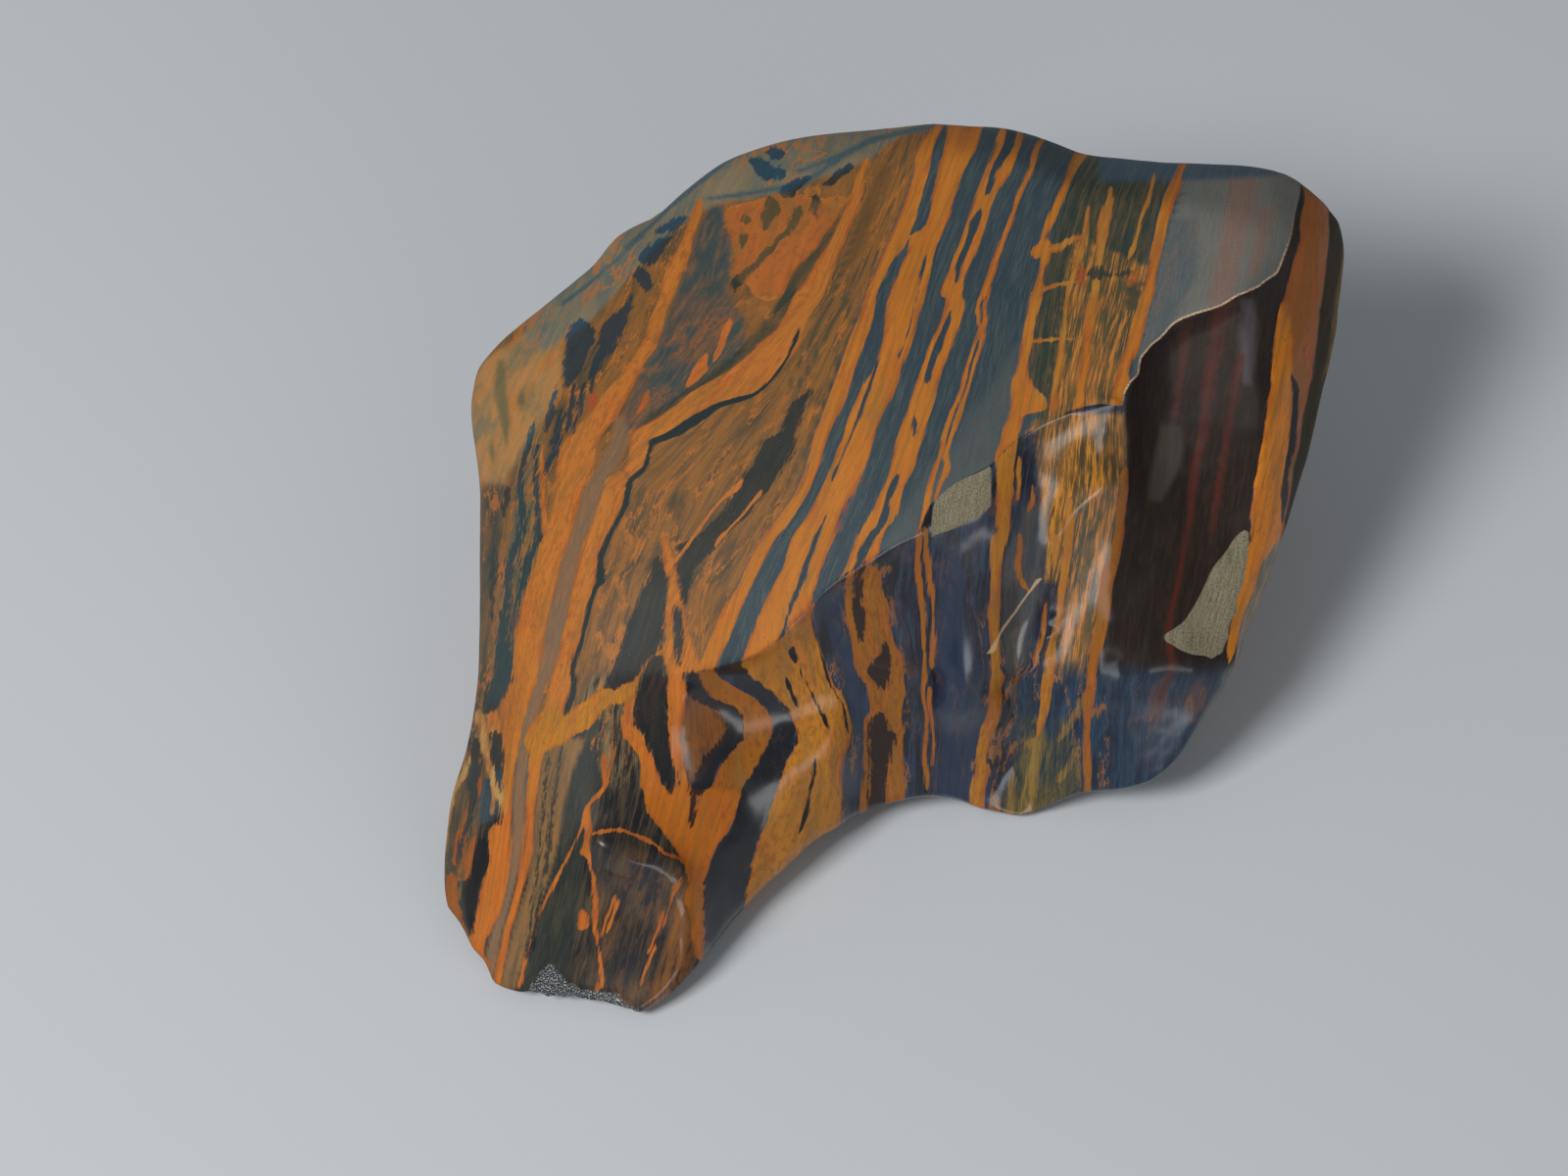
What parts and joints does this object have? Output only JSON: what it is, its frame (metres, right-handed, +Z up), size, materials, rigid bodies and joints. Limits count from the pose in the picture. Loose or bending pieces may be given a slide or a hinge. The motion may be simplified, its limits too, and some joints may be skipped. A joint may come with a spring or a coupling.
{
  "type": "rough tiger iron stone",
  "caption": "Polished rough lump of banded tiger iron with a broad domed face, scooped ribbed front and a low foot; rests on a flat underside.",
  "frame": {"origin": "centre of the bounding box on the resting plane", "axes": "+Z up from the resting flat, which is the shortest way through the stone; +X along its longest way, foot at -X; -Y is the side with the foot and the scooped front, the high rim is at +Y"},
  "size_m": [0.0932, 0.0824, 0.0474],
  "materials": {
    "tiger_iron": "semi-gloss polish"
  },
  "bodies": {
    "root": {"stone": "tiger_iron"}
  },
  "joints": []
}
